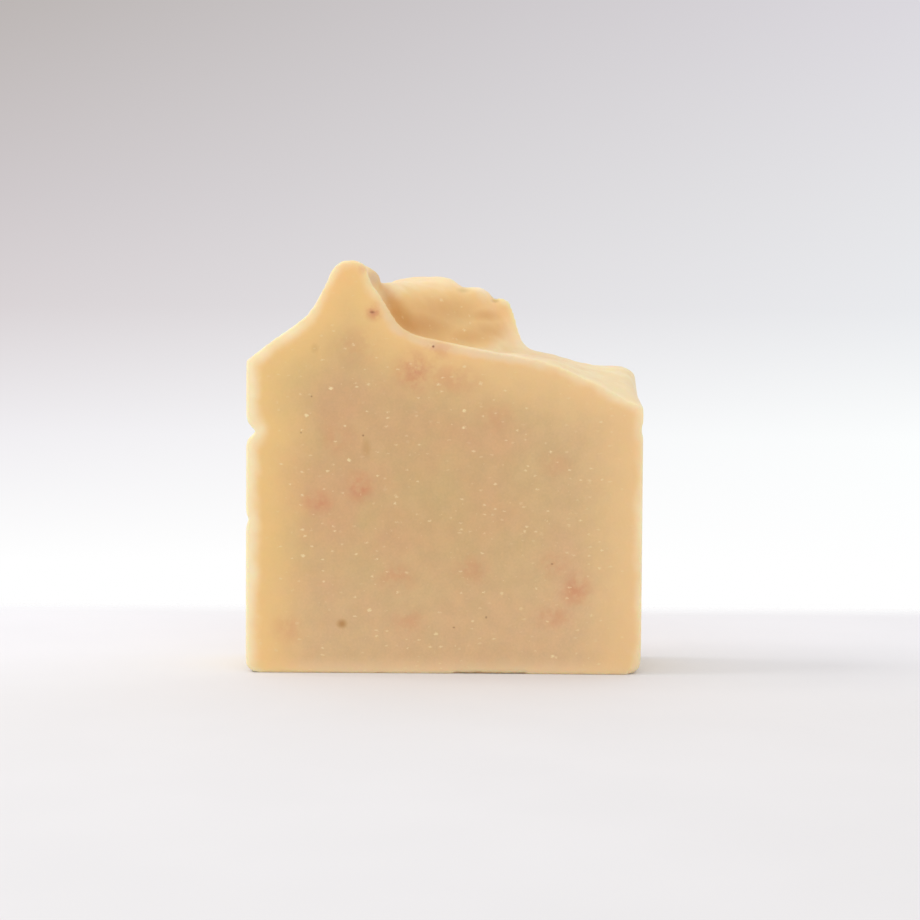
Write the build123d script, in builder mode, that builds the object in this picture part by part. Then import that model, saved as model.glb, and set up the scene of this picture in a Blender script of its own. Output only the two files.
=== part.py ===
"""Bar of handmade soap: one slice cut from a poured loaf, standing on its mould side.

The loaf was poured into a straight-sided mould and its top was worked with a spoon into
a curling ridge, so the slice has flat cut faces at the front and back, mould-cast sides
and base with small casting marks, and a sculpted top that differs along the thickness.

Frame: origin at the centre of the base, +Z up, +X to the right, +Y from the front cut
face to the back cut face. Millimetres.
"""

import os

from build123d import *

# ---------------------------------------------------------------- driving sizes
bar_width = 80.0  # inside width of the mould
bar_thickness = 24.0  # spacing of the two cuts through the loaf
fill_height = 60.0  # level of the poured soap, which all heights of the top start from

mould_corner_radius = 2.4  # round of the mould along its two lower corners

crease_height = 48.6  # fold of the mould's liner, cast into the left side
crease_above = 3.8  # how far it runs out above its deepest line
crease_below = 2.9  # and below it
crease_depth = 1.9

nick_height = 31.0  # smaller mark of the same kind
nick_reach = 1.7
nick_depth = 0.6

corner_chip_width = 1.8  # facet broken off the front lower right corner
corner_chip_height = 4.4
corner_chip_depth = 1.2

edge_chip_start = 2.0  # shallow chip along the front lower edge, from the centre line
edge_chip_length = 15.0
edge_chip_height = 0.45
edge_chip_depth = 0.8

# ---------------------------------------------------------------- the worked top
# Each station is one cut through the loaf. Its points follow the same sixteen features
# from left to right, so that the ridge keeps its identity as it curls to the right:
#   left wall, left slope, foot of the crest (low, high), crest (left, top left, top right,
#   brow), inner flank (high, low), hollow (left, right), right shoulder, right slope,
#   right brow, right wall.
# A point is (place across the width, from -1 at the left wall to 1 at the right wall;
# height above the fill level).
front_station = [
    (-1.00, 3.1), (-0.84, 8.0), (-0.69, 12.6), (-0.63, 16.6),
    (-0.565, 21.8), (-0.51, 23.0), (-0.435, 23.0), (-0.38, 19.8),
    (-0.30, 14.7), (-0.20, 9.6), (-0.05, 7.5), (0.25, 5.1),
    (0.55, 2.5), (0.80, -1.9), (0.95, -4.9), (1.00, -5.8),
]  # fmt: skip
quarter_station = [
    (-1.00, 2.6), (-0.84, 6.8), (-0.70, 10.8), (-0.63, 14.8),
    (-0.56, 19.4), (-0.49, 21.6), (-0.41, 21.4), (-0.345, 19.2),
    (-0.27, 13.2), (-0.16, 7.8), (-0.01, 5.8), (0.27, 4.6),
    (0.56, 3.3), (0.80, -0.2), (0.95, -2.7), (1.00, -5.4),
]  # fmt: skip
middle_station = [
    (-1.00, 1.8), (-0.84, 5.2), (-0.70, 8.9), (-0.61, 13.2),
    (-0.52, 16.6), (-0.41, 18.6), (-0.27, 19.1), (-0.16, 16.6),
    (-0.08, 12.2), (0.02, 7.0), (0.14, 4.9), (0.33, 4.2),
    (0.57, 3.3), (0.80, 0.9), (0.95, -1.0), (1.00, -5.0),
]  # fmt: skip
three_quarter_station = [
    (-1.00, 1.3), (-0.84, 3.9), (-0.70, 7.4), (-0.57, 12.4),
    (-0.45, 16.4), (-0.30, 19.0), (-0.10, 19.3), (0.08, 16.8),
    (0.17, 13.0), (0.24, 8.2), (0.31, 5.3), (0.44, 4.3),
    (0.61, 3.3), (0.80, 1.5), (0.96, 0.2), (1.00, -3.2),
]  # fmt: skip
back_station = [
    (-1.00, 0.9), (-0.84, 3.0), (-0.70, 6.4), (-0.56, 11.6),
    (-0.42, 16.8), (-0.27, 19.8), (-0.05, 20.1), (0.13, 17.9),
    (0.34, 14.3), (0.385, 9.2), (0.425, 5.8), (0.53, 4.2),
    (0.66, 2.9), (0.82, 1.9), (0.96, 1.3), (1.00, 0.1),
]  # fmt: skip

# The loaf runs on past both cuts and past the mould walls, so that every cut is clean.
cut_allowance = 4.0
wall_allowance = 3.0

half_width = bar_width / 2
front_cut = -bar_thickness / 2
back_cut = bar_thickness / 2
highest_point = max(height for station in (front_station, back_station) for _, height in station)
block_height = fill_height + highest_point + cut_allowance


def section_plane(y):
    """Plane across the loaf at y, with its own x along +X and its own y along +Z."""
    return Plane(origin=(0, y, 0), x_dir=(1, 0, 0), z_dir=(0, -1, 0))


def top_points(station):
    """Points of the worked top at one station, run on past both mould walls."""
    points = [(place * half_width, fill_height + height) for place, height in station]
    left, right = points[0], points[-1]
    return [
        (left[0] - wall_allowance, left[1] - wall_allowance * 0.6),
        *points,
        (right[0] + wall_allowance, right[1] - wall_allowance),
    ]


# ---------------------------------------------------------------- the loaf
stations = [
    (front_cut - cut_allowance, front_station),
    (front_cut, front_station),
    (front_cut * 0.5, quarter_station),
    (0.0, middle_station),
    (back_cut * 0.5, three_quarter_station),
    (back_cut, back_station),
    (back_cut + cut_allowance, back_station),
]

with BuildPart() as loaf:
    for station_y, station in stations:
        outline = top_points(station)
        left_end, right_end = outline[0], outline[-1]
        with BuildSketch(section_plane(station_y)):
            with BuildLine():
                Spline(*outline)
                Line(right_end, (right_end[0], -cut_allowance))
                Line((right_end[0], -cut_allowance), (left_end[0], -cut_allowance))
                Line((left_end[0], -cut_allowance), left_end)
            make_face()
    loft()

# ---------------------------------------------------------------- the bar
with BuildPart() as soap_bar:
    # Section of the mould, seen from the front: flat base, round lower corners, side
    # walls with the marks of the mould in them. Cut across at both faces.
    with BuildSketch(section_plane(front_cut)):
        with BuildLine():
            right_base = (half_width - mould_corner_radius, 0)
            left_base = (-half_width + mould_corner_radius, 0)
            Line(left_base, right_base)
            RadiusArc(right_base, (half_width, mould_corner_radius), -mould_corner_radius)
            Line((half_width, mould_corner_radius), (half_width, block_height))
            Line((half_width, block_height), (-half_width, block_height))
            crease_top = (-half_width, crease_height + crease_above)
            crease_foot = (-half_width, crease_height - crease_below)
            nick_top = (-half_width, nick_height + nick_reach)
            nick_foot = (-half_width, nick_height - nick_reach)
            Line((-half_width, block_height), crease_top)
            Spline(
                crease_top,
                (-half_width + crease_depth, crease_height),
                crease_foot,
                tangents=[(0, -1), (0, -1)],
            )
            Line(crease_foot, nick_top)
            Spline(
                nick_top,
                (-half_width + nick_depth, nick_height),
                nick_foot,
                tangents=[(0, -1), (0, -1)],
            )
            Line(nick_foot, (-half_width, mould_corner_radius))
            RadiusArc((-half_width, mould_corner_radius), left_base, -mould_corner_radius)
        make_face()
    extrude(amount=-bar_thickness)

    # The worked top of the loaf takes off everything above it.
    add(loaf.part, mode=Mode.INTERSECT)

    # Shallow chip along the front lower edge.
    with BuildSketch(Plane.YZ.offset(edge_chip_start)):
        with BuildLine():
            Polyline(
                (front_cut, edge_chip_height),
                (front_cut - edge_chip_depth, edge_chip_height),
                (front_cut - edge_chip_depth, -edge_chip_height),
                (front_cut + edge_chip_depth, 0),
                close=True,
            )
        make_face()
    extrude(amount=edge_chip_length, mode=Mode.SUBTRACT)

    # Facet off the front lower right corner: a cut by the plane through its three ends.
    chip_above = Vector(half_width, front_cut, mould_corner_radius + corner_chip_height)
    chip_behind = Vector(half_width, front_cut + corner_chip_depth, mould_corner_radius)
    chip_beside = Vector(half_width - corner_chip_width, front_cut, mould_corner_radius)
    chip_normal = (chip_behind - chip_above).cross(chip_beside - chip_above)
    if chip_normal.X < 0:
        chip_normal = -chip_normal
    split(bisect_by=Plane(origin=chip_above, z_dir=chip_normal), keep=Keep.BOTTOM)

soap_bar.part.label = "soap_bar"

os.makedirs("parts", exist_ok=True)
export_step(soap_bar.part, "parts/soap_bar.step")
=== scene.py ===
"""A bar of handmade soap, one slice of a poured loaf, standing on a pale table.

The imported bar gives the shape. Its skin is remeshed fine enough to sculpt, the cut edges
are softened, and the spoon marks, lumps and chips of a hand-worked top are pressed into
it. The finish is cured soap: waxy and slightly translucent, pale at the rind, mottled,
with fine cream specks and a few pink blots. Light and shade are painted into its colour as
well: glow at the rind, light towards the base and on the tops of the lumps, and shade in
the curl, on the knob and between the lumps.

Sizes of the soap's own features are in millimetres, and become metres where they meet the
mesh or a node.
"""

from __future__ import annotations

import logging
import math
from dataclasses import dataclass, field
from enum import Enum
from typing import NamedTuple

import bmesh
import bpy
import numpy as np
from mathutils import Euler, Matrix, Vector, noise
from mathutils.kdtree import KDTree


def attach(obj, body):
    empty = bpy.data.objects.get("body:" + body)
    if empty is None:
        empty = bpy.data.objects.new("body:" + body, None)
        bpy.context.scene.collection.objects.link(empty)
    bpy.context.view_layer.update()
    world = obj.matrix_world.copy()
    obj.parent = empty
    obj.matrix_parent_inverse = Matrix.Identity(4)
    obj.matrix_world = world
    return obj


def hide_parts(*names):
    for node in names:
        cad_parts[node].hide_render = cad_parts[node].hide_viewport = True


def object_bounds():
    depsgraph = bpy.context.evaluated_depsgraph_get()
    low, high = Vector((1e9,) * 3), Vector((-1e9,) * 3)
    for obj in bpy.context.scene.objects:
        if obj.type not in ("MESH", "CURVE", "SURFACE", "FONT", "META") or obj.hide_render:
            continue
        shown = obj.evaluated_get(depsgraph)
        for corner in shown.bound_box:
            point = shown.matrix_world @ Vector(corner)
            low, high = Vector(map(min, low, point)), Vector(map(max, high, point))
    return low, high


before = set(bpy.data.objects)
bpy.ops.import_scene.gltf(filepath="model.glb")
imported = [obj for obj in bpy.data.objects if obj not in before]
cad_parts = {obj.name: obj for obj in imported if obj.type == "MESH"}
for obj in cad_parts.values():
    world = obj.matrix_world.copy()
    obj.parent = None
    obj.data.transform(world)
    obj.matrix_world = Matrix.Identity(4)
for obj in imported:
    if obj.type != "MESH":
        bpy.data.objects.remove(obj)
CAD_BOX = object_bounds()

LOG = logging.getLogger("soap")
MM = 0.001
HALF_WIDTH = CAD_BOX[1][0] / MM
HALF_THICKNESS = CAD_BOX[1][1] / MM
WHITE = (1.0, 1.0, 1.0)

# How the nodes of a tree are laid out in the editor.
NODES_IN_A_ROW = 12
NODE_STEP = (200, -260)

# Sockets of a Mix node that mixes colours.
MIX_AMOUNT, MIX_BELOW, MIX_ABOVE, MIX_RESULT = 0, 6, 7, 2

Colour = tuple[float, float, float]
Triple = tuple[float, float, float]
Stops = tuple[tuple[float, Colour], ...]
Socket = bpy.types.NodeSocket


def srgb(red: int, green: int, blue: int) -> Colour:
    """Turns an 8-bit display colour into the linear values that a shader takes.

    Args:
        red: Red, 0 to 255.
        green: Green, 0 to 255.
        blue: Blue, 0 to 255.

    Returns:
        The same colour, linear, 0 to 1.
    """

    def linear(level: int) -> float:
        """One channel, from display to linear."""
        value = level / 255
        return value / 12.92 if value <= 0.04045 else ((value + 0.055) / 1.055) ** 2.4

    return linear(red), linear(green), linear(blue)


# ------------------------------------------------------------------------- node recipes
class Blend(Enum):
    """How a layer of colour is laid over the one below."""

    COVER = "MIX"
    STAIN = "MULTIPLY"


class Sum(Enum):
    """Arithmetic that the recipes use."""

    ADD = "ADD"
    SUBTRACT = "SUBTRACT"
    MULTIPLY = "MULTIPLY"
    LARGER = "MAXIMUM"


class Fade(NamedTuple):
    """Eases from one level to another as a value goes from start to end.

    Attributes:
        start: Where it leaves low.
        end: Where it reaches high.
        low: The level before start.
        high: The level after end.
    """

    start: float
    end: float
    low: float = 0.0
    high: float = 1.0


class Cloud(NamedTuple):
    """Soft noise.

    Attributes:
        size: Width of a patch, in millimetres.
        detail: Number of finer layers.
        rough: Strength of the finer layers.
        swirl: How far the noise folds over itself.
    """

    size: float
    detail: float = 2.0
    rough: float = 0.5
    swirl: float = 0.0


class Recipe:
    """A node tree, written as a list of steps. Every step returns its output socket."""

    def __init__(self, tree: bpy.types.NodeTree) -> None:
        """Empties the tree and starts it afresh."""
        self.tree = tree
        tree.nodes.clear()

    def node(self, kind: str, **settings: object) -> bpy.types.Node:
        """Adds one node.

        Args:
            kind: Blender's name for the node.
            settings: Properties to set on it.

        Returns:
            The new node.
        """
        made = self.tree.nodes.new(kind)
        row, column = divmod(len(self.tree.nodes), NODES_IN_A_ROW)
        made.location = (NODE_STEP[0] * column, NODE_STEP[1] * row)
        for name, value in settings.items():
            setattr(made, name, value)
        return made

    def feed(self, socket: Socket, value: object) -> None:
        """Links a socket to another, or sets it to a plain value.

        Args:
            socket: The socket to feed.
            value: Another socket, a number or a colour.
        """
        if isinstance(value, Socket):
            self.tree.links.new(value, socket)
        elif isinstance(value, tuple) and socket.type == "RGBA":
            socket.default_value = (*value, 1.0)
        else:
            socket.default_value = value

    def place(self, centre: Triple = (0, 0, 0), scale: Triple = (1, 1, 1)) -> Socket:
        """A point of the piece in its own axes, in millimetres.

        Args:
            centre: Where the pattern's middle is, in millimetres.
            scale: Stretch of the pattern along each axis.

        Returns:
            The vector socket.
        """
        at = self.node("ShaderNodeTexCoord").outputs["Object"]
        mapping = self.node("ShaderNodeMapping", vector_type="POINT")
        self.feed(mapping.inputs["Vector"], at)
        mapping.inputs["Scale"].default_value = tuple(s / MM for s in scale)
        mapping.inputs["Location"].default_value = tuple(-c * s for c, s in zip(centre, scale))
        return mapping.outputs["Vector"]

    def cloud(self, at: Socket, cloud: Cloud) -> Socket:
        """Draws soft noise.

        Args:
            at: The place, in millimetres.
            cloud: Its size and character.

        Returns:
            The noise, around 0.5.
        """
        noisy = self.node("ShaderNodeTexNoise")
        self.feed(noisy.inputs["Vector"], at)
        noisy.inputs["Scale"].default_value = 1 / cloud.size
        noisy.inputs["Detail"].default_value = cloud.detail
        noisy.inputs["Roughness"].default_value = cloud.rough
        noisy.inputs["Distortion"].default_value = cloud.swirl
        return noisy.outputs["Fac"]

    def nudge(self, at: Socket, size: float, push: float) -> Socket:
        """Moves a place about, so that what is drawn there has a ragged rim.

        Args:
            at: The place, in millimetres.
            size: Width of one wobble, in millimetres.
            push: How far it moves, in millimetres.

        Returns:
            The moved place.
        """
        cloud = self.node("ShaderNodeTexNoise")
        self.feed(cloud.inputs["Vector"], at)
        cloud.inputs["Scale"].default_value = 1 / size
        cloud.inputs["Detail"].default_value = 1.0
        move = self.node("ShaderNodeVectorMath", operation="MULTIPLY_ADD")
        self.feed(move.inputs[0], cloud.outputs["Color"])
        move.inputs[1].default_value = (push, push, push)
        self.feed(move.inputs[2], at)
        return move.outputs["Vector"]

    def cells(self, at: Socket, size: float) -> tuple[Socket, Socket]:
        """Scattered points, one to a cell.

        Args:
            at: The place, in millimetres.
            size: Width of a cell, in millimetres.

        Returns:
            The distance to the cell's point in cells, and the cell's random colour.
        """
        cells = self.node("ShaderNodeTexVoronoi", feature="F1")
        self.feed(cells.inputs["Vector"], at)
        cells.inputs["Scale"].default_value = 1 / size
        return cells.outputs["Distance"], cells.outputs["Color"]

    def sum(self, kind: Sum, first: object, second: object) -> Socket:
        """Arithmetic on two numbers or sockets.

        Args:
            kind: What is done with them.
            first: The first of them.
            second: The second.

        Returns:
            The result.
        """
        math_node = self.node("ShaderNodeMath", operation=kind.value)
        self.feed(math_node.inputs[0], first)
        self.feed(math_node.inputs[1], second)
        return math_node.outputs[0]

    def fade(self, value: Socket, fade: Fade) -> Socket:
        """Eases a value from one level to another.

        Args:
            value: What drives it.
            fade: Where it starts and ends, and its levels there.

        Returns:
            The eased value.
        """
        ramp = self.node("ShaderNodeMapRange", interpolation_type="SMOOTHSTEP")
        self.feed(ramp.inputs["Value"], value)
        ramp.inputs["From Min"].default_value = fade.start
        ramp.inputs["From Max"].default_value = fade.end
        ramp.inputs["To Min"].default_value = fade.low
        ramp.inputs["To Max"].default_value = fade.high
        return ramp.outputs["Result"]

    def layer(
        self,
        amount: object,
        below: object,
        above: object,
        blend: Blend = Blend.COVER,
    ) -> Socket:
        """Lays one colour over another.

        Args:
            amount: 0 keeps the lower colour, 1 the upper.
            below: The lower colour.
            above: The upper colour.
            blend: How the upper one is laid on.

        Returns:
            The mixed colour.
        """
        mix = self.node("ShaderNodeMix", data_type="RGBA", blend_type=blend.value)
        self.feed(mix.inputs[MIX_AMOUNT], amount)
        self.feed(mix.inputs[MIX_BELOW], below)
        self.feed(mix.inputs[MIX_ABOVE], above)
        return mix.outputs[MIX_RESULT]

    def ramp(self, value: Socket, stops: Stops) -> Socket:
        """Runs through several colours as a value goes from 0 to 1.

        Args:
            value: What drives it.
            stops: Places from 0 to 1, each with its colour.

        Returns:
            The colour.
        """
        ramp = self.node("ShaderNodeValToRGB")
        self.feed(ramp.inputs["Fac"], value)
        elements = ramp.color_ramp.elements
        while len(elements) < len(stops):
            elements.new(0.5)
        for element, (position, colour) in zip(elements, stops):
            element.position = position
            element.color = (*colour, 1.0)
        return ramp.outputs["Color"]

    def parts(self, vector: Socket) -> tuple[Socket, ...]:
        """Splits a vector or colour.

        Args:
            vector: The vector or colour.

        Returns:
            Its three numbers.
        """
        split = self.node("ShaderNodeSeparateXYZ")
        self.feed(split.inputs[0], vector)
        return tuple(split.outputs)

    def grey(self, value: Socket) -> Socket:
        """Makes a grey.

        Args:
            value: How light it is.

        Returns:
            The colour with that number on all three channels.
        """
        join = self.node("ShaderNodeCombineColor")
        for channel in join.inputs:
            self.feed(channel, value)
        return join.outputs["Color"]

    def straight(self, value: Socket, start: float, end: float) -> Socket:
        """Goes evenly from 0 to 1 as a value goes from start to end.

        Args:
            value: What drives it.
            start: Where it leaves 0.
            end: Where it reaches 1.

        Returns:
            The new value.
        """
        ramp = self.node("ShaderNodeMapRange")
        self.feed(ramp.inputs["Value"], value)
        ramp.inputs["From Min"].default_value = start
        ramp.inputs["From Max"].default_value = end
        return ramp.outputs["Result"]

    def distance(self, at: Socket) -> Socket:
        """How far a place is from the pattern's middle.

        Args:
            at: The place.

        Returns:
            The distance, in the pattern's own units.
        """
        length = self.node("ShaderNodeVectorMath", operation="LENGTH")
        self.feed(length.inputs[0], at)
        return length.outputs["Value"]


# ------------------------------------------------------------------------- finishes
@dataclass(frozen=True)
class Blot:
    """One spot of colour in the soap, a soft ball just under the surface.

    Attributes:
        centre: Middle of the spot, in millimetres.
        radii: How far it spreads along each axis, in millimetres.
        strength: How strongly it shows, 0 to 1.
    """

    centre: Triple
    radii: Triple
    strength: float


@dataclass(frozen=True)
class Specks:
    """Fine flecks of lye and clay, strewn through the soap.

    Attributes:
        squeeze: How much narrower they are along each axis.
        cell: Room for each, in millimetres.
        widest: Radius of the largest, in millimetres.
        strength: How strongly the clearest shows, 0 to 1.
        wobble: Width of one wobble of their ragged rims, in millimetres.
        push: How far a wobble moves the rim, in millimetres.
        smallest: Radius of the smallest, as a share of the largest.
        rim: Where a speck fades, from just inside its rim to just outside, as shares of
            the largest.
        shown: Random draw at which a speck starts to show, and that of the clearest.
    """

    squeeze: Triple
    cell: float
    widest: float
    strength: float
    wobble: float = 0.28
    push: float = 0.6
    smallest: float = 0.35
    rim: tuple[float, float] = (-0.5, 0.15)
    shown: tuple[float, float] = (0.25, 1.0)

    def strew(self, recipe: Recipe) -> Socket:
        """Draws them.

        Args:
            recipe: The material's node tree.

        Returns:
            0 between the specks, up to their strength inside them.
        """
        ragged = recipe.nudge(recipe.place(scale=self.squeeze), self.wobble, self.push)
        near, random = recipe.cells(ragged, self.cell)
        chosen, size, _ = recipe.parts(random)
        widest = self.widest / self.cell
        radius = recipe.fade(size, Fade(0.0, 1.0, self.smallest * widest, widest))
        past_rim = recipe.sum(Sum.SUBTRACT, near, radius)
        rim = Fade(self.rim[0] * widest, self.rim[1] * widest, 1.0, 0.0)
        shown = recipe.fade(chosen, Fade(*self.shown, 0.0, self.strength))
        return recipe.sum(Sum.MULTIPLY, recipe.fade(past_rim, rim), shown)


@dataclass(frozen=True)
class CuredSoap:
    """Cured soap: waxy, slightly translucent, mottled and specked.

    Fades along x, y and z are over places on the bar, and those of the rind are over depth
    under the loaf's skin, all in millimetres.

    Attributes:
        slot: Its name in the record. Not used.
        body_green: One tone of the mottled inside.
        body_pink: The other.
        foot: Painted light: a lighter tone towards the base, where the pale table throws light up,
            and towards the right.
        sole: Pale line along the base.
        under_rind_glow_left: Yellow band under the rind, on the left: painted glow of light
            scattered in through the edges.
        under_rind_glow_right: The same painted glow on the right.
        rind: The pale rim, partly a paler skin of the loaf and partly painted glow of light
            through the edges.
        skin: The outside as it set.
        lump_highlight: Painted highlight on the lit tops of the lumps.
        ash: Soda ash along the front lip.
        curl_shade: Painted shade inside the curl, where the front peak hides it from the lamp.
        bowl_shade: Painted shade in the bowl of the curl and on its flank; the spoon's streaks
            take the same tone.
        notch_shade: Painted shade in the notches between the lumps.
        speck: Fine pale specks.
        blot: Pink blots.
        fleck: Small dark flecks.
        smudge: Brown smudges.
        knob_shade: Painted shade on the knob, which faces away from the lamp.
        tone: Patches of green and pink.
        tone_mix: Their share of pink.
        mottle: Patches a few millimetres wide.
        mottle_shade: How dark and light they are.
        grain: The finest patches.
        grain_shade: How dark and light they are.
        foot_light_right: Share of the painted light along x.
        foot_light_low: Share of the painted light along z.
        sole_low: Share of the sole's tone along z.
        wander: How unevenly the rind runs.
        wander_depth: How far that moves it.
        left_rind_glow: How much wider the rind and its painted glow are at the left wall, where
            the lamp is.
        crest_rind_glow: How much wider the painted glow under the rind is towards the crest.
        under_rind_glow_side: Share of the right side's glow along x.
        under_rind_glow_width: Share of the painted glow under the rind.
        rind_width: Share of the rind.
        skin_share: Share of the skin's tone where it shows.
        drag: Stretch of the spoon's streaks along each axis, per millimetre.
        streaks: The streaks.
        streak_share: How strongly they show.
        streak_height: Where they start, along z.
        curl_shade_share: How strongly balls of painted shade that overlap show.
        lip_rim: Share of the ash, over depth.
        lip_front: The same along y.
        lip_start: The same along x, where it comes in right of the peak.
        lip_end: The same along x, where it goes out.
        ragged: Patches that break up the blots.
        ragged_share: How much of a blot they leave.
        speck_depth: Share of the specks, over depth.
        gloss: Patches of more and less polish.
        roughness: Roughness over those patches.
        refraction: Index of refraction.
        shine: Level of the specular reflection.
        glow: Share of light that passes under the surface.
        glow_depth: How far it goes, in millimetres.
        glow_colour: How much further each colour goes.
        pores: The finest relief.
        waves: Broader relief.
        relief: Strength of the relief.
        relief_height: Its height, in millimetres.
        specks: Layers of specks.
        blots: The pink blots.
        curl_shade_balls: Balls of painted shade that fill the curl.
        bowl_shades: Patches of the painted shade.
        lump_highlights: Where the painted highlight lies on the lumps.
        knob_shades: Patches of painted shade on the knob.
        notch_shades: Where the painted shade lies between the lumps.
        smudges: Brown smudges.
        flecks: Dark flecks.
    """

    slot: str = "cured_soap"
    body_green: Colour = srgb(215, 184, 133)
    body_pink: Colour = srgb(220, 179, 133)
    foot: Colour = srgb(228, 195, 152)
    sole: Colour = srgb(242, 214, 172)
    under_rind_glow_left: Colour = srgb(248, 210, 141)
    under_rind_glow_right: Colour = srgb(245, 209, 152)
    rind: Colour = srgb(255, 240, 206)
    skin: Colour = srgb(237, 216, 172)
    lump_highlight: Colour = srgb(248, 232, 208)
    ash: Colour = srgb(232, 209, 177)
    curl_shade: Colour = srgb(204, 132, 46)
    bowl_shade: Colour = srgb(214, 160, 104)
    notch_shade: Colour = srgb(196, 168, 112)
    speck: Colour = srgb(246, 230, 184)
    blot: Colour = srgb(214, 140, 106)
    fleck: Colour = srgb(140, 74, 42)
    smudge: Colour = srgb(188, 134, 74)
    knob_shade: Colour = srgb(204, 180, 158)
    tone: Cloud = Cloud(14.0, 2.0, 0.5, 0.3)
    tone_mix: Fade = Fade(0.28, 0.72)
    mottle: Cloud = Cloud(3.2, 3.0, 0.6)
    mottle_shade: Fade = Fade(0.3, 0.7, 0.97, 1.03)
    grain: Cloud = Cloud(0.5, 2.0, 0.6)
    grain_shade: Fade = Fade(0.25, 0.75, 0.975, 1.025)
    foot_light_right: Fade = Fade(0.0, 40.0, 0.0, 0.5)
    foot_light_low: Fade = Fade(2.0, 34.0, 0.6, 0.0)
    sole_low: Fade = Fade(0.0, 4.0, 0.8, 0.0)
    wander: Cloud = Cloud(6.0)
    wander_depth: Fade = Fade(0.2, 0.8, -0.6, 0.6)
    left_rind_glow: Fade = Fade(-39.0, -20.0, -1.0, 0.2)
    crest_rind_glow: Fade = Fade(66.0, 80.0, 0.0, 3.0)
    under_rind_glow_side: Fade = Fade(-30.0, 30.0)
    under_rind_glow_width: Fade = Fade(0.0, 16.0, 0.8, 0.0)
    rind_width: Fade = Fade(-0.6, 2.6, 0.85, 0.0)
    skin_share: float = 0.8
    drag: Triple = (0.07, 0.16, 0.4)
    streaks: Cloud = Cloud(1.0)
    streak_share: Fade = Fade(0.4, 0.7, 0.0, 0.2)
    streak_height: Fade = Fade(54.0, 62.0)
    curl_shade_share: Fade = Fade(0.0, 1.3, 0.0, 0.95)
    lip_rim: Fade = Fade(0.4, 2.4, 0.8, 0.0)
    lip_front: Fade = Fade(-11.5, -10.5, 1.0, 0.0)
    lip_start: Fade = Fade(-15.0, -12.0)
    lip_end: Fade = Fade(10.0, 26.0, 1.0, 0.0)
    ragged: Cloud = Cloud(2.6, 3.0, 0.65)
    ragged_share: Fade = Fade(0.34, 0.6, 0.2, 1.0)
    speck_depth: Fade = Fade(0.5, 9.0, 0.15, 1.0)
    specks: tuple[Specks, ...] = (
        Specks((0.65, 1.0, 1.2), 1.4, 0.33, 0.6),
        Specks((1.1, 1.0, 0.75), 1.5, 0.32, 0.6),
        Specks((0.8, 1.0, 1.0), 3.6, 0.44, 0.85),
    )
    gloss: Cloud = Cloud(1.2)
    roughness: Fade = Fade(0.25, 0.75, 0.44, 0.6)
    refraction: float = 1.46
    shine: float = 0.35
    glow: float = 0.6
    glow_depth: float = 3.0
    glow_colour: Triple = (1.0, 0.55, 0.28)
    pores: Cloud = Cloud(0.5, 3.0, 0.6)
    waves: Cloud = Cloud(3.0)
    relief: float = 0.35
    relief_height: float = 0.12
    blots: tuple[Blot, ...] = (
        Blot((-6.0, -12.0, 61.0), (6.2, 5.0, 6.4), 0.65),
        Blot((-1.5, -12.0, 65.6), (5.0, 4.0, 3.6), 0.35),
        Blot((-18.0, -12.0, 66.0), (7.0, 4.0, 6.0), 0.25),
        Blot((1.0, -12.0, 59.6), (9.0, 4.0, 5.0), 0.35),
        Blot((-17.1, -12.0, 37.8), (4.0, 4.0, 4.4), 0.75),
        Blot((-25.4, -12.0, 34.6), (4.4, 4.0, 3.6), 0.65),
        Blot((-21.5, -12.0, 47.5), (6.0, 4.0, 5.0), 0.3),
        Blot((10.5, -12.0, 52.0), (6.0, 4.0, 5.0), 0.25),
        Blot((22.6, -12.0, 42.5), (5.0, 4.0, 4.0), 0.25),
        Blot((22.0, -12.0, 22.0), (4.4, 4.0, 4.0), 0.45),
        Blot((26.6, -12.0, 17.2), (5.0, 4.0, 5.4), 0.6),
        Blot((22.0, -12.0, 11.6), (6.4, 4.0, 3.4), 0.45),
        Blot((5.4, -12.0, 21.2), (5.4, 4.0, 4.4), 0.4),
        Blot((-9.4, -12.0, 19.2), (5.6, 4.0, 4.6), 0.4),
        Blot((-7.0, -12.0, 10.6), (5.6, 4.0, 4.6), 0.3),
        Blot((-14.4, -12.0, 73.0), (2.6, 3.0, 2.6), 0.8),
        Blot((-31.5, -12.0, 9.0), (4.6, 4.0, 4.6), 0.3),
        Blot((-16.6, -12.0, 81.6), (1.6, 2.0, 1.4), 0.35),
        Blot((12.0, 12.0, 30.0), (6.0, 4.0, 5.0), 0.5),
        Blot((-14.0, 12.0, 46.0), (5.0, 4.0, 6.0), 0.5),
        Blot((-24.0, 12.0, 18.0), (6.0, 4.0, 4.4), 0.4),
        Blot((40.0, 2.0, 26.0), (4.0, 5.0, 6.0), 0.3),
    )
    curl_shade_balls: tuple[Blot, ...] = (
        Blot((-13.0, -7.0, 78.8), (3.0, 12.0, 3.0), 0.4),
        Blot((-12.0, -7.0, 76.8), (3.4, 12.0, 3.4), 0.5),
        Blot((-10.8, -7.0, 74.8), (4.0, 14.0, 3.8), 0.55),
        Blot((-9.6, -7.0, 72.8), (4.6, 14.0, 4.0), 0.55),
        Blot((-8.0, -7.0, 70.8), (5.2, 14.0, 4.0), 0.6),
        Blot((-5.4, -8.0, 69.2), (6.2, 12.0, 3.4), 0.5),
        Blot((-1.4, -9.0, 67.8), (7.0, 8.0, 2.4), 0.4),
    )
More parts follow.
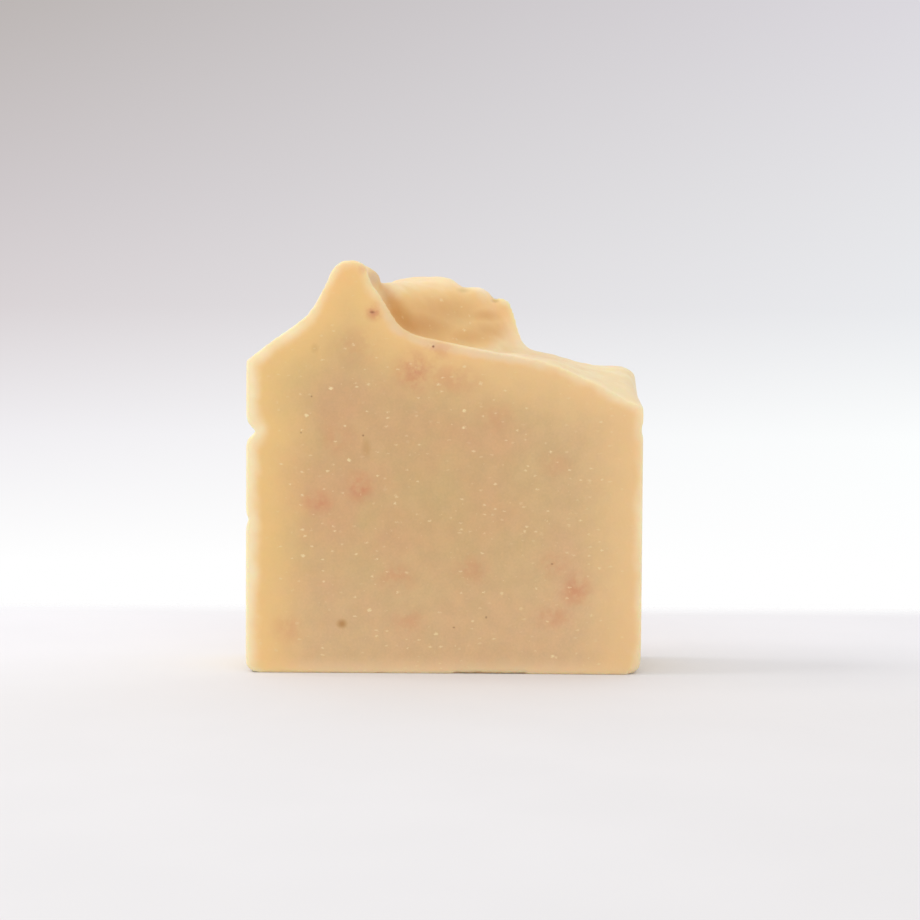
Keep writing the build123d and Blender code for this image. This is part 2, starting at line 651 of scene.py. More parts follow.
    bowl_shades: tuple[Blot, ...] = (
        Blot((-3.0, -2.0, 70.5), (9.0, 9.0, 4.8), 0.7),
        Blot((0.0, 1.0, 73.5), (13.0, 12.0, 5.0), 0.5),
        Blot((7.6, 8.0, 72.2), (6.4, 6.0, 2.1), 0.6),
        Blot((4.0, 6.0, 67.8), (10.0, 9.0, 3.0), 0.7),
        Blot((8.6, 6.0, 69.0), (8.0, 9.0, 3.0), 0.5),
        Blot((20.0, 0.0, 63.8), (9.0, 16.0, 3.4), 0.4),
    )
    lump_highlights: tuple[Blot, ...] = (
        Blot((7.4, 10.0, 78.2), (3.0, 5.0, 1.8), 0.6),
        Blot((13.2, 10.0, 75.2), (2.4, 5.0, 1.6), 0.5),
    )
    knob_shades: tuple[Blot, ...] = (
        Blot((-14.4, -9.0, 79.8), (2.4, 6.0, 2.8), 0.6),
    )
    notch_shades: tuple[Blot, ...] = (
        Blot((3.2, 9.0, 77.4), (2.4, 4.0, 0.9), 0.55),
        Blot((10.4, 9.5, 75.4), (1.2, 4.0, 0.7), 0.8),
    )
    smudges: tuple[Blot, ...] = (
        Blot((-20.5, -12.0, 10.0), (1.5, 1.5, 1.3), 0.75),
        Blot((-15.8, -12.0, 45.6), (1.4, 2.0, 2.6), 0.3),
        Blot((-26.2, -12.0, 65.6), (1.2, 2.0, 1.4), 0.2),
    )
    flecks: tuple[Blot, ...] = (
        Blot((-14.7, -12.0, 72.9), (0.8, 1.0, 0.4), 0.65),
        Blot((-2.4, -12.0, 66.1), (0.38, 1.0, 0.38), 0.95),
        Blot((-16.4, -12.0, 48.1), (0.34, 1.0, 0.34), 0.7),
        Blot((21.8, -12.0, 22.4), (0.38, 1.0, 0.3), 0.6),
        Blot((8.6, -12.0, 11.5), (0.3, 1.0, 0.42), 0.6),
        Blot((2.1, -12.0, 9.4), (0.4, 1.0, 0.3), 0.6),
        Blot((-26.8, -12.0, 55.9), (0.3, 1.0, 0.3), 0.6),
        Blot((-28.9, -12.0, 48.6), (0.3, 1.0, 0.3), 0.5),
    )

    def spots(
        self,
        recipe: Recipe,
        spots: tuple[Blot, ...],
        edge: float,
        merge: Sum = Sum.LARGER,
    ) -> Socket:
        """How much of a spot each point of the soap holds.

        Args:
            recipe: The material's node tree.
            spots: The spots to draw.
            edge: Where a spot starts to fade, from 0 at its middle to 1 at its rim.
            merge: How spots that overlap are taken together.

        Returns:
            0 outside every spot, up to a spot's strength inside it.
        """
        total: object = 0.0
        for spot in spots:
            scale = tuple(1 / radius for radius in spot.radii)
            reach = recipe.distance(recipe.place(spot.centre, scale))
            amount = recipe.fade(reach, Fade(edge, 1.0, spot.strength, 0.0))
            total = recipe.sum(merge, total, amount)
        return total

    def ash_lip(self, recipe: Recipe, depth: Socket) -> Socket:
        """How much soda ash dusts the thin lip of the front cut, right of the peak.

        Args:
            recipe: The material's node tree.
            depth: Depth under the loaf's skin, in millimetres.

        Returns:
            0 away from the lip, up to its strongest on it.
        """
        x, y, _ = recipe.parts(recipe.place())
        rim = recipe.fade(depth, self.lip_rim)
        front = recipe.fade(y, self.lip_front)
        start = recipe.fade(x, self.lip_start)
        end = recipe.fade(x, self.lip_end)
        across = recipe.sum(Sum.MULTIPLY, start, end)
        return recipe.sum(Sum.MULTIPLY, recipe.sum(Sum.MULTIPLY, rim, front), across)

    def inside(self, recipe: Recipe, at: Socket) -> Socket:
        """Colour of the inside of the loaf, as the cut faces show it.

        Args:
            recipe: The material's node tree.
            at: The place, in millimetres.

        Returns:
            The colour.
        """
        pink = recipe.fade(recipe.cloud(at, self.tone), self.tone_mix)
        body = recipe.layer(pink, self.body_green, self.body_pink)
        x, _, z = recipe.parts(at)
        # painted light: lighter towards the base, where the pale table throws light up, and
        # towards the right
        body = recipe.layer(recipe.fade(x, self.foot_light_right), body, self.foot)
        body = recipe.layer(recipe.fade(z, self.foot_light_low), body, self.foot)
        mottle = recipe.fade(recipe.cloud(at, self.mottle), self.mottle_shade)
        grain = recipe.fade(recipe.cloud(at, self.grain), self.grain_shade)
        shade = recipe.sum(Sum.MULTIPLY, mottle, grain)
        body = recipe.layer(1.0, body, recipe.grey(shade), Blend.STAIN)
        return recipe.layer(recipe.fade(z, self.sole_low), body, self.sole)

    def depth(self, recipe: Recipe, at: Socket) -> Socket:
        """Depth under the loaf's skin, uneven as the rind runs.

        Args:
            recipe: The material's node tree.
            at: The place, in millimetres.

        Returns:
            The depth, in millimetres.
        """
        depth = recipe.node("ShaderNodeAttribute", attribute_name="rind_depth").outputs["Fac"]
        wander = recipe.fade(recipe.cloud(at, self.wander), self.wander_depth)
        x, _, _ = recipe.parts(at)
        depth = recipe.sum(Sum.ADD, depth, wander)
        # painted glow: the rind and the band under it run wider at the left wall, where the lamp
        # is
        return recipe.sum(Sum.ADD, depth, recipe.fade(x, self.left_rind_glow))

    def rinded(self, recipe: Recipe, at: Socket, depth: Socket, body: Socket) -> Socket:
        """Lays the rind, and the yellow band under it, round the cut faces.

        Args:
            recipe: The material's node tree.
            at: The place, in millimetres.
            depth: Depth under the loaf's skin, in millimetres.
            body: Colour of the inside.

        Returns:
            The colour.
        """
        x, _, z = recipe.parts(at)
        # the yellow band under the rind is painted glow of light scattered in through the edges,
        # wider towards the crest; the pale rind is partly painted glow too
        below = recipe.sum(Sum.SUBTRACT, depth, recipe.fade(z, self.crest_rind_glow))
        right = recipe.fade(x, self.under_rind_glow_side)
        under_rind_glow = recipe.layer(right, self.under_rind_glow_left, self.under_rind_glow_right)
        body = recipe.layer(recipe.fade(below, self.under_rind_glow_width), body, under_rind_glow)
        return recipe.layer(recipe.fade(depth, self.rind_width), body, self.rind)

    def skinned(self, recipe: Recipe, at: Socket, body: Socket) -> Socket:
        """Lays the skin over what the mould and the spoon shaped, with the spoon's streaks.

        Args:
            recipe: The material's node tree.
            at: The place, in millimetres.
            body: The colour so far.

        Returns:
            The colour.
        """
        skin = recipe.node("ShaderNodeAttribute", attribute_name="skin").outputs["Fac"]
        body = recipe.layer(recipe.sum(Sum.MULTIPLY, skin, self.skin_share), body, self.skin)
        dragged = recipe.cloud(recipe.place(scale=self.drag), self.streaks)
        streak = recipe.sum(Sum.MULTIPLY, skin, recipe.fade(dragged, self.streak_share))
        _, _, z = recipe.parts(at)
        streak = recipe.sum(Sum.MULTIPLY, streak, recipe.fade(z, self.streak_height))
        # the spoon's streaks are drawn in the tone of the painted shade
        return recipe.layer(streak, body, self.bowl_shade)

    def worked(self, recipe: Recipe, depth: Socket, body: Socket) -> Socket:
        """Lays the tones of the worked top: the curl's hollow, the lumps and the ash.

        Args:
            recipe: The material's node tree.
            depth: Depth under the loaf's skin, in millimetres.
            body: The colour so far.

        Returns:
            The colour.
        """
        # painted shade in the bowl of the curl and on its flank
        body = recipe.layer(self.spots(recipe, self.bowl_shades, 0.0), body, self.bowl_shade)
        # painted shade inside the curl, where the front peak hides it from the lamp
        shade_balls = self.spots(recipe, self.curl_shade_balls, 0.0, Sum.ADD)
        body = recipe.layer(recipe.fade(shade_balls, self.curl_shade_share), body, self.curl_shade)
        # painted highlights on the lit tops of the lumps
        body = recipe.layer(self.spots(recipe, self.lump_highlights, 0.0), body, self.lump_highlight)
        # painted shade in the notches between the lumps
        body = recipe.layer(self.spots(recipe, self.notch_shades, 0.2), body, self.notch_shade)
        # painted shade on the knob, which faces away from the lamp
        body = recipe.layer(self.spots(recipe, self.knob_shades, 0.0), body, self.knob_shade)
        return recipe.layer(self.ash_lip(recipe, depth), body, self.ash)

    def spotted(self, recipe: Recipe, at: Socket, depth: Socket, body: Socket) -> Socket:
        """Lays the blots, smudges, specks and flecks.

        Args:
            recipe: The material's node tree.
            at: The place, in millimetres.
            depth: Depth under the loaf's skin, in millimetres.
            body: The colour so far.

        Returns:
            The colour.
        """
        ragged = recipe.fade(recipe.cloud(at, self.ragged), self.ragged_share)
        blots = recipe.sum(Sum.MULTIPLY, self.spots(recipe, self.blots, 0.0), ragged)
        body = recipe.layer(blots, body, self.blot)
        body = recipe.layer(self.spots(recipe, self.smudges, 0.1), body, self.smudge)
        inner = recipe.fade(depth, self.speck_depth)
        for specks in self.specks:
            strewn = recipe.sum(Sum.MULTIPLY, specks.strew(recipe), inner)
            body = recipe.layer(strewn, body, self.speck)
        return recipe.layer(self.spots(recipe, self.flecks, 0.0), body, self.fleck)

    def wax(self, recipe: Recipe, at: Socket, body: Socket) -> bpy.types.Node:
        """Gives the colour its waxy surface.

        Args:
            recipe: The material's node tree.
            at: The place, in millimetres.
            body: The colour.

        Returns:
            The shader.
        """
        shader = recipe.node("ShaderNodeBsdfPrincipled")
        recipe.feed(shader.inputs["Base Color"], body)
        rough = recipe.fade(recipe.cloud(at, self.gloss), self.roughness)
        recipe.feed(shader.inputs["Roughness"], rough)
        shader.inputs["IOR"].default_value = self.refraction
        shader.inputs["Specular IOR Level"].default_value = self.shine
        shader.inputs["Subsurface Weight"].default_value = self.glow
        shader.inputs["Subsurface Scale"].default_value = self.glow_depth * MM
        shader.inputs["Subsurface Radius"].default_value = self.glow_colour

        pores, waves = recipe.cloud(at, self.pores), recipe.cloud(at, self.waves)
        bump = recipe.node("ShaderNodeBump")
        bump.inputs["Strength"].default_value = self.relief
        bump.inputs["Distance"].default_value = self.relief_height * MM
        recipe.feed(bump.inputs["Height"], recipe.sum(Sum.ADD, pores, waves))
        recipe.feed(shader.inputs["Normal"], bump.outputs["Normal"])
        return shader

    def material(self) -> bpy.types.Material:
        """Writes the material.

        Returns:
            The finished material.
        """
        made = bpy.data.materials.new("cured_soap")
        made.use_nodes = True
        recipe = Recipe(made.node_tree)
        at = recipe.place()
        depth = self.depth(recipe, at)
        body = self.inside(recipe, at)
        body = self.rinded(recipe, at, depth, body)
        body = self.skinned(recipe, at, body)
        body = self.worked(recipe, depth, body)
        body = self.spotted(recipe, at, depth, body)
        shader = self.wax(recipe, at, body)
        out = recipe.node("ShaderNodeOutputMaterial")
        recipe.feed(out.inputs["Surface"], shader.outputs["BSDF"])
        return made


@dataclass(frozen=True)
class PaleTable:
    """Matt white board that fades into the backdrop all round.

    Attributes:
        near: Its tone in front of the bar.
        far_lit: Its tone behind the bar, lighter: painted light.
        depth: Where the tone changes, along y, in millimetres.
        patches: Faint patches.
        patch_shade: How dark and light they are.
        behind: Where it fades behind the bar, in millimetres.
        before: Where it fades in front.
        beside: Where it fades to each side.
    """

    near: Colour = srgb(230, 228, 229)
    far_lit: Colour = srgb(236, 234, 237)
    depth: Fade = Fade(-60.0, 40.0)
    patches: Cloud = Cloud(40.0)
    patch_shade: Fade = Fade(0.3, 0.7, 0.985, 1.0)
    behind: Fade = Fade(72.0, 92.0)
    before: Fade = Fade(240.0, 320.0)
    beside: Fade = Fade(200.0, 300.0)

    def faded(self, recipe: Recipe, at: Socket) -> Socket:
        """How far the table has faded away.

        Args:
            recipe: The material's node tree.
            at: The place, in millimetres.

        Returns:
            0 near the bar, 1 where the backdrop shows.
        """
        x, y, _ = recipe.parts(at)
        faded = recipe.fade(y, self.behind)
        nearer = recipe.sum(Sum.MULTIPLY, y, -1.0)
        leftward = recipe.sum(Sum.MULTIPLY, x, -1.0)
        sides = ((nearer, self.before), (x, self.beside), (leftward, self.beside))
        for way, fade in sides:
            faded = recipe.sum(Sum.LARGER, faded, recipe.fade(way, fade))
        return faded

    def material(self) -> bpy.types.Material:
        """Writes the material.

        Returns:
            The finished material.
        """
        made = bpy.data.materials.new("pale_table")
        made.use_nodes = True
        recipe = Recipe(made.node_tree)
        at = recipe.place()
        matt = recipe.node("ShaderNodeBsdfDiffuse")
        shade = recipe.fade(recipe.cloud(at, self.patches), self.patch_shade)
        # painted light: the board is lighter behind the bar
        board = recipe.layer(recipe.fade(recipe.parts(at)[1], self.depth), self.near, self.far_lit)
        board = recipe.layer(1.0, board, recipe.grey(shade), Blend.STAIN)
        recipe.feed(matt.inputs["Color"], board)
        clear = recipe.node("ShaderNodeBsdfTransparent")
        mix = recipe.node("ShaderNodeMixShader")
        recipe.feed(mix.inputs[0], self.faded(recipe, at))
        recipe.feed(mix.inputs[1], matt.outputs[0])
        recipe.feed(mix.inputs[2], clear.outputs[0])
        out = recipe.node("ShaderNodeOutputMaterial")
        recipe.feed(out.inputs["Surface"], mix.outputs[0])
        return made


# ------------------------------------------------------------------------- the bar
@dataclass(frozen=True)
class Press:
    """One push of a thumb or spoon into the soap, or one lump left standing.

    Attributes:
        centre: Middle of the mark, in millimetres.
        radii: How far it spreads along each axis, in millimetres.
        lift: How far it stands out along the surface's normal, negative for a hollow.
    """

    centre: Triple
    radii: Triple
    lift: float


@dataclass(frozen=True)
class SpoonDrag:
    """Long ridges and small dimples that the spoon leaves along its path.

    Attributes:
        start: Height at which the worked top starts, in millimetres.
        rise: Height over which the marks come in, in millimetres.
        margin: Width over which they come in from the cuts and walls, in millimetres.
        path: Rows that turn and stretch the noise along the spoon's path, per millimetre.
        ridge: Height of a ridge, in millimetres.
        dimples: Dimples to the millimetre, along each axis.
        dimple: Height of a dimple, in millimetres.
    """

    start: float = 53.0
    rise: float = 3.0
    margin: float = 1.5
    path: tuple[Triple, ...] = ((0.10, 0.05, 0.0), (-0.12, 0.32, 0.0), (0.0, 0.0, 0.16))
    ridge: float = 0.38
    dimples: Triple = (0.5, 0.7, 0.5)
    dimple: float = 0.10

    def worked(self, at: np.ndarray) -> np.ndarray:
        """How much each point belongs to the spoon-worked top.

        Args:
            at: Points of the bar, in millimetres.

        Returns:
            1 on the worked top, 0 on the cut faces, walls and base.
        """
        high = np.clip((at[:, 2] - self.start) / self.rise, 0, 1)
        inner = np.clip((HALF_THICKNESS - np.abs(at[:, 1])) / self.margin, 0, 1)
        walls = np.clip((HALF_WIDTH - np.abs(at[:, 0])) / self.margin, 0, 1)
        return high * inner * walls

    def lift(self, at: np.ndarray) -> np.ndarray:
        """Height of the marks.

        Args:
            at: Points of the bar, in millimetres.

        Returns:
            How far each point is lifted, in millimetres.
        """
        marks = np.zeros(len(at))
        top = np.flatnonzero(at[:, 2] > self.start)
        along = at[top].astype(float) @ np.array(self.path).T
        fine = at[top].astype(float) * np.array(self.dimples)
        for index, ridge_at, dimple_at in zip(top, along, fine):
            ridge = self.ridge * noise.noise(Vector(ridge_at))
            marks[index] = ridge + self.dimple * noise.noise(Vector(dimple_at))
        return self.worked(at) * marks


@dataclass(frozen=True)
class WireCut:
    """Uneven edges, where the wire that cut the loaf left and pulled crumbs.

    Attributes:
        facing: How squarely the middle of a softened edge faces the cut, 0 to 1.
        spread: How far from that the edge still counts.
        margin: How far in from the cut face an edge may start, in millimetres.
        rise: Width over which it comes in, in millimetres.
        least: Share of an edge under which a point is left alone.
        crumb: Height of a crumb, in millimetres.
        crumbs: Crumbs to the millimetre.
        foot: Height of the stretch that lost whole pieces, in millimetres.
        foot_rise: Height over which that comes in, in millimetres.
        pull: Depth of a lost piece, in millimetres.
        pulls: Lost pieces to the millimetre.
    """

    facing: float = 0.6
    spread: float = 0.38
    margin: float = 1.4
    rise: float = 0.8
    least: float = 0.02
    crumb: float = 0.16
    crumbs: float = 0.9
    foot: float = 2.0
    foot_rise: float = 1.5
    pull: float = 0.35
    pulls: float = 0.35

    def lift(self, at: np.ndarray, normal: np.ndarray) -> np.ndarray:
        """Height of the crumbs.

        Args:
            at: Points of the bar, in millimetres.
            normal: Their normals.

        Returns:
            How far each point is lifted, in millimetres.
        """
        off_edge = np.abs(np.abs(normal[:, 1]) - self.facing)
        edge = np.clip(1.0 - off_edge / self.spread, 0, 1)
        start = HALF_THICKNESS - self.margin
        edge *= np.clip((np.abs(at[:, 1]) - start) / self.rise, 0, 1)
        low = np.clip((self.foot - at[:, 2]) / self.foot_rise, 0, 1)
        crumbs = np.zeros(len(at))
        for index in np.flatnonzero(edge > self.least):
            p = Vector(float(value) for value in at[index])
            lost = self.pull * low[index] * max(0.0, noise.noise(p * self.pulls))
            crumbs[index] = self.crumb * noise.noise(p * self.crumbs) - lost
        return crumbs * edge


@dataclass
class SoapBar:
    """The bar itself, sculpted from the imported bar.

    Attributes:
        node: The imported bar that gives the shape.
        name: Name of the finished bar.
        weld: How near loose corners are joined, in millimetres.
        grain: Width of one face of the sculpting mesh, in millimetres.
        softening: How many times the cut edges are eased.
        easing: How many times the rind's depth is eased.
        base_round: Height of the mould's lower corners, which have no rind, in millimetres.
        cut_facing: How squarely a point of a cut face faces the cut, at least.
        cut_margin: How far in from the cut it may lie, in millimetres.
        rim_margin: The same for a point of the skin that the depth is measured from.
        turned: Places where the spoon turned the skin under, with the depth that shows.
        finish: What it is made of.
        spoon: Marks of the spoon.
        wire: Marks of the cutting wire.
        presses: The marks worked into it one by one.
    """

    node: str = "soap_bar"
    name: str = "bar_of_soap"
    weld: float = 0.001
    grain: float = 0.46
    softening: int = 2
    easing: int = 8
    base_round: float = 2.4
    cut_facing: float = 0.75
    cut_margin: float = 0.7
    rim_margin: float = 1.0
    turned: tuple[Press, ...] = (
        Press((1.0, 0.0, 71.5), (14.0, 14.0, 5.6), 6.5),
        Press((-14.4, -8.0, 79.6), (3.0, 4.0, 3.0), 2.5),
    )
    finish: CuredSoap = field(default_factory=CuredSoap)
    spoon: SpoonDrag = field(default_factory=SpoonDrag)
    wire: WireCut = field(default_factory=WireCut)
    presses: tuple[Press, ...] = (
        # knob beside the front peak, and the pinch under it
        Press((-14.2, -7.6, 79.9), (1.9, 2.4, 1.9), 1.1),
        Press((-15.6, -8.6, 81.7), (1.5, 2.6, 1.1), 0.5),
        Press((-20.4, -11.0, 82.1), (0.9, 2.5, 0.9), 0.4),
        Press((-15.7, -10.6, 79.7), (0.8, 0.9, 1.1), -0.7),
        Press((-14.7, -10.6, 78.0), (0.9, 1.0, 1.1), -0.7),
        Press((-13.2, 5.0, 79.0), (1.6, 9.0, 2.6), -1.3),
        Press((-24.2, -9.0, 79.4), (1.6, 7.0, 2.6), -0.45),
        # lumps along the back of the curl, with the notches between them
        Press((-1.0, 10.0, 80.4), (3.6, 3.0, 2.0), 0.15),
        Press((-8.0, 8.0, 80.0), (4.0, 5.0, 2.0), -0.35),
        Press((3.6, 9.5, 78.6), (2.0, 3.5, 2.0), -0.9),
        Press((7.6, 10.0, 77.9), (2.2, 3.0, 1.8), 0.8),
        Press((10.3, 10.5, 76.4), (0.9, 3.0, 1.6), -0.8),
        Press((12.6, 10.0, 75.2), (1.8, 3.0, 1.6), 0.6),
        # spoon hollows in the inner flank
        Press((-9.0, -5.0, 72.5), (3.0, 5.0, 3.5), -0.7),
        Press((2.0, 6.0, 72.0), (5.0, 3.5, 2.2), -0.5),
        # rounded front edge of the right slope
        Press((27.0, -12.0, 60.2), (5.0, 1.4, 1.3), -0.3),
        Press((35.0, -12.0, 56.0), (5.0, 1.4, 1.5), -0.35),
        # small pit on the right side
        Press((40.0, -11.0, 49.6), (1.4, 1.6, 0.9), -0.5),
    )

    def copy_of_node(self) -> bpy.types.Object:
        """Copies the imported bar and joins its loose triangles.

        Returns:
            The copy, a closed mesh.
        """
        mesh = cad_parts[self.node].data.copy()
        mesh.name = self.name
        work = bmesh.new()
        work.from_mesh(mesh)
        bmesh.ops.remove_doubles(work, verts=work.verts, dist=self.weld * MM)
        work.to_mesh(mesh)
        work.free()
        bar = bpy.data.objects.new(self.name, mesh)
        bpy.context.scene.collection.objects.link(bar)
        return bar

    def remesh(self, bar: bpy.types.Object) -> None:
        """Gives the bar an even mesh, fine enough to sculpt.

        Args:
            bar: The bar, changed in place.
        """
        even = bar.modifiers.new("even", "REMESH")
        even.mode = "VOXEL"
        even.voxel_size = self.grain * MM
        evaluated = bar.evaluated_get(bpy.context.evaluated_depsgraph_get())
        fine = bpy.data.meshes.new_from_object(evaluated)
        bar.modifiers.clear()
        bar.data = fine
        fine.name = self.name

    def soften(self, bar: bpy.types.Object) -> None:
        """Eases the edges, as soap that has cured and been handled.

        Args:
            bar: The bar, changed in place.
        """
        work = bmesh.new()
        work.from_mesh(bar.data)
        for _ in range(self.softening):
            bmesh.ops.smooth_vert(
                work,
                verts=work.verts,
                factor=0.5,
                use_axis_x=True,
                use_axis_y=True,
                use_axis_z=True,
            )
        work.to_mesh(bar.data)
        work.free()

    def sculpt(self, bar: bpy.types.Object) -> None:
        """Presses the marks into the bar and drags the spoon across its top.

        Args:
            bar: The bar, changed in place.
        """
        mesh = bar.data
        count = len(mesh.vertices)
        place = np.empty(count * 3, np.float32)
        normal = np.empty(count * 3, np.float32)
        mesh.vertices.foreach_get("co", place)
        mesh.vertices.foreach_get("normal", normal)
        place, normal = place.reshape(-1, 3), normal.reshape(-1, 3)
        at = place / MM
        lift = np.zeros(count)
        for press in self.presses:
            reach = (at - np.array(press.centre)) / np.array(press.radii)
            lift += press.lift * np.exp(-(reach**2).sum(1))
        lift += self.spoon.lift(at)
        lift += self.wire.lift(at, normal)
        moved = place + normal * (lift * MM)[:, None]
        low, high = (np.array(corner) for corner in CAD_BOX)
        moved = np.clip(moved, low, high).astype(np.float32)
        mesh.vertices.foreach_set("co", moved.ravel())
        mesh.update()

    def mark_rind(self, bar: bpy.types.Object) -> None:
        """Stores how deep under the loaf's skin each point of the cut faces lay.

        Args:
            bar: The bar, which gains the attributes rind_depth, in millimetres, and
                skin, 1 where the skin is as it set and 0 on the cut faces.
        """
        mesh = bar.data
        at = [vertex.co / MM for vertex in mesh.vertices]
        cut_start = HALF_THICKNESS - self.cut_margin
        rim_start = HALF_THICKNESS - self.rim_margin
        cut = [
            abs(vertex.normal.y) > self.cut_facing and abs(p.y) > cut_start
            for vertex, p in zip(mesh.vertices, at)
        ]
        rim = [
            p
            for p, on_cut in zip(at, cut)
            if not on_cut and abs(p.y) > rim_start and p.z > self.base_round
        ]
        tree = KDTree(len(rim))
        for index, p in enumerate(rim):
            tree.insert(p, index)
        tree.balance()
        depth = [
            tree.find(p)[2] if on_cut else self.turned_over(p) for p, on_cut in zip(at, cut)
        ]
        skin = [0.0 if on_cut else math.exp(-deep) for on_cut, deep in zip(cut, depth)]
        for name, values in (("rind_depth", depth), ("skin", skin)):
            layer = mesh.attributes.new(name, "FLOAT", "POINT")
            layer.data.foreach_set("value", self.eased(mesh, values))

    def eased(self, mesh: bpy.types.Mesh, values: list[float]) -> np.ndarray:
        """Spreads values over the mesh, so that they change without a hard line.

        Args:
            mesh: The bar's mesh.
            values: One value for each vertex.

        Returns:
            The eased values.
        """
        ends = np.empty(len(mesh.edges) * 2, np.int32)
        mesh.edges.foreach_get("vertices", ends)
        first, second = ends.reshape(-1, 2).T
        count = len(values)
        shared = np.bincount(ends, minlength=count) + 1.0
        eased = np.array(values)
        for _ in range(self.easing):
            from_second = np.bincount(first, eased[second], count)
            from_first = np.bincount(second, eased[first], count)
            eased = (eased + from_second + from_first) / shared
        return eased.astype(np.float32)

    def turned_over(self, p: Vector) -> float:
        """How deep the soap at a point of the skin lay before the spoon turned it over.

        Args:
            p: A point of the skin, in millimetres.

        Returns:
            Depth in millimetres, 0 where the skin was left as it set.
        """
        depth = 0.0
        for patch in self.turned:
            reach = Matrix.Diagonal([1 / r for r in patch.radii]) @ (p - Vector(patch.centre))
            depth = max(depth, patch.lift * math.exp(-reach.length_squared))
        return depth

    def build(self) -> bpy.types.Object:
        """Makes, dresses and mounts the bar.

        Returns:
            The finished bar.
        """
        bar = self.copy_of_node()
        self.remesh(bar)
        self.soften(bar)
        self.sculpt(bar)
        self.mark_rind(bar)
        bar.data.shade_smooth()
        bar.data.materials.clear()
        bar.data.materials.append(self.finish.material())
        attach(bar, "root")
        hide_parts(self.node)
        LOG.info("%s: %d faces", bar.name, len(bar.data.polygons))
        return bar


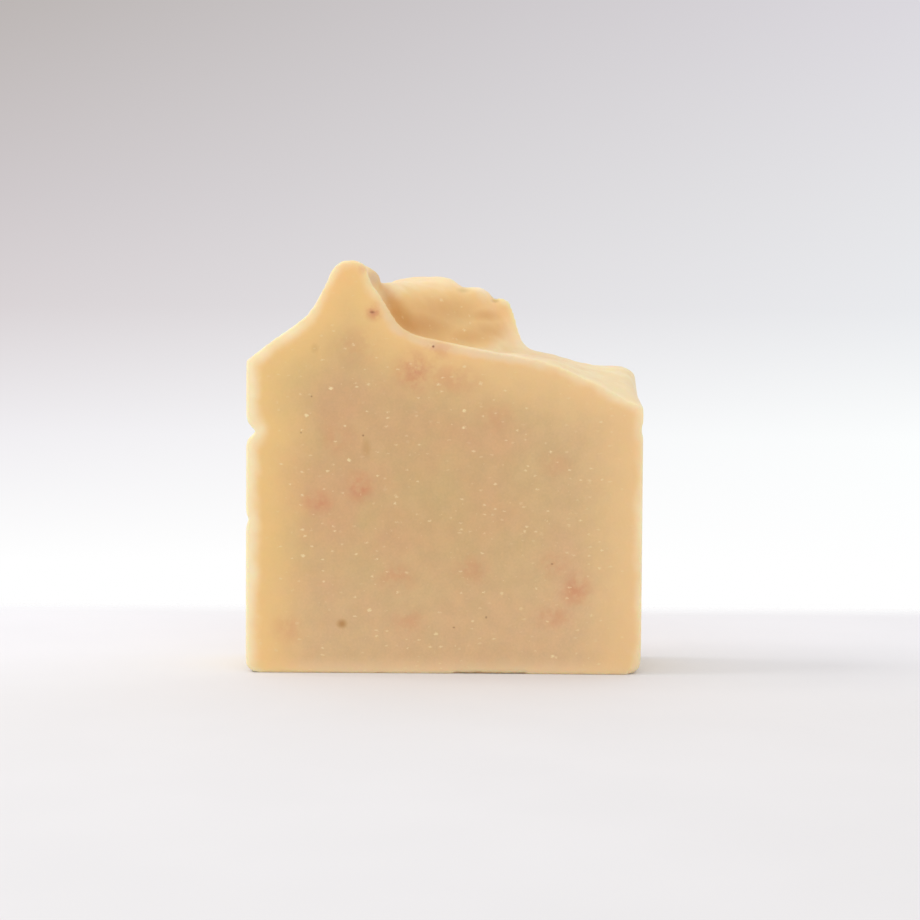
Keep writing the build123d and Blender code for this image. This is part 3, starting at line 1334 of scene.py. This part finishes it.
# ------------------------------------------------------------------------- the set
@dataclass
class Studio:
    """Table, backdrop light, lamps and camera.

    Attributes:
        table_reach: How far the table runs to each side, in metres.
        camera_at: The lens, in metres.
        tilt: How far the camera looks down, in degrees.
        roll: How far it is turned about its own axis, in degrees.
        lens: Focal length on a 36 mm sensor, in millimetres.
        drop: Shift of the frame down, in frame widths.
        ambient: Strength of the white studio around the bar.
        key_power: Power of the soft lamp on the left, in watts.
        key_at: Where it hangs, in metres.
        key_size: Its width, in metres.
        key_aim: What it points at, in metres.
        sky_height: How far down and up the backdrop's tones run, as the sine of the angle.
        sky_width: How far to the left and right they run, in the same measure.
        left_sky: Tones of the backdrop from low to high, on the left.
        right_sky: The same on the right.
        clip: The nearest and farthest that the camera sees, in metres.
    """

    table_reach: float = 1.6
    camera_at: Triple = (0.00303, -0.462, 0.0753)
    tilt: float = 2.47
    roll: float = 0.38
    lens: float = 87.7
    drop: float = -0.068
    ambient: float = 0.93
    key_power: float = 1.75
    key_at: Triple = (-0.55, -0.01, 0.60)
    key_size: float = 0.32
    key_aim: Triple = (0.0, 0.0, 0.04)
    sky_height: float = 0.15
    sky_width: float = 0.2
    clip: tuple[float, float] = (0.01, 20.0)
    left_sky: Stops = (
        (0.0, WHITE),
        (0.12, WHITE),
        (0.30, srgb(241, 239, 242)),
        (0.49, srgb(218, 212, 214)),
        (0.65, srgb(207, 201, 203)),
        (0.95, srgb(187, 181, 179)),
    )
    right_sky: Stops = (
        (0.0, WHITE),
        (0.12, WHITE),
        (0.30, srgb(252, 254, 254)),
        (0.49, srgb(234, 235, 238)),
        (0.65, srgb(229, 229, 232)),
        (0.95, srgb(219, 216, 222)),
    )

    def table(self) -> bpy.types.Object:
        """Lays the table under the bar.

        Returns:
            The table.
        """
        mesh = bpy.data.meshes.new("table")
        work = bmesh.new()
        bmesh.ops.create_grid(work, x_segments=8, y_segments=8, size=self.table_reach)
        work.to_mesh(mesh)
        work.free()
        table = bpy.data.objects.new("table", mesh)
        bpy.context.scene.collection.objects.link(table)
        mesh.materials.append(PaleTable().material())
        return table

    def backdrop(self) -> bpy.types.World:
        """Lights the studio evenly and shows a graded backdrop to the camera.

        Returns:
            The world.
        """
        world = bpy.data.worlds.new("studio")
        world.use_nodes = True
        bpy.context.scene.world = world
        recipe = Recipe(world.node_tree)
        direction = recipe.node("ShaderNodeTexCoord").outputs["Generated"]
        across, _, up = recipe.parts(direction)
        height = recipe.straight(up, -self.sky_height, self.sky_height)
        side = recipe.straight(across, -self.sky_width, self.sky_width)
        left, right = recipe.ramp(height, self.left_sky), recipe.ramp(height, self.right_sky)
        sky = recipe.layer(side, left, right)
        seen = recipe.node("ShaderNodeBackground")
        recipe.feed(seen.inputs["Color"], sky)
        lighting = recipe.node("ShaderNodeBackground")
        lighting.inputs["Color"].default_value = (*WHITE, 1.0)
        lighting.inputs["Strength"].default_value = self.ambient
        ray = recipe.node("ShaderNodeLightPath")
        direct = recipe.sum(Sum.LARGER, ray.outputs["Is Camera Ray"], ray.outputs["Is Glossy Ray"])
        direct = recipe.sum(Sum.LARGER, direct, ray.outputs["Is Transmission Ray"])
        mix = recipe.node("ShaderNodeMixShader")
        recipe.feed(mix.inputs[0], direct)
        recipe.feed(mix.inputs[1], lighting.outputs[0])
        recipe.feed(mix.inputs[2], seen.outputs[0])
        out = recipe.node("ShaderNodeOutputWorld")
        recipe.feed(out.inputs["Surface"], mix.outputs[0])
        return world

    def key(self) -> bpy.types.Object:
        """Hangs the soft lamp on the left.

        Returns:
            The lamp.
        """
        data = bpy.data.lights.new("key", "AREA")
        data.shape = "SQUARE"
        data.size = self.key_size
        data.energy = self.key_power
        lamp = bpy.data.objects.new("key", data)
        lamp.location = self.key_at
        aim = Vector(self.key_aim) - Vector(self.key_at)
        lamp.rotation_euler = aim.to_track_quat("-Z", "Y").to_euler()
        bpy.context.scene.collection.objects.link(lamp)
        return lamp

    def camera(self) -> bpy.types.Object:
        """Sets up the camera.

        Returns:
            The camera.
        """
        data = bpy.data.cameras.new("camera")
        data.sensor_width = 36.0
        data.lens = self.lens
        data.shift_y = self.drop
        data.clip_start, data.clip_end = self.clip
        camera = bpy.data.objects.new("camera", data)
        turn = Euler((math.radians(90 - self.tilt), 0, 0)).to_matrix()
        turn = turn @ Matrix.Rotation(math.radians(self.roll), 3, "Z")
        camera.matrix_world = Matrix.Translation(self.camera_at) @ turn.to_4x4()
        bpy.context.scene.collection.objects.link(camera)
        bpy.context.scene.camera = camera
        return camera

    def build(self) -> None:
        """Sets up the whole studio."""
        bpy.context.scene.view_settings.view_transform = "Standard"
        for made in (self.camera(), self.table(), self.key(), self.backdrop()):
            LOG.info("studio: %s", made.name)


def main() -> None:
    """Builds the bar and its studio, and reports each piece."""
    logging.basicConfig(level=logging.INFO, format="%(name)s: %(message)s")
    Studio().build()
    SoapBar().build()


if __name__ == "__main__":
    main()
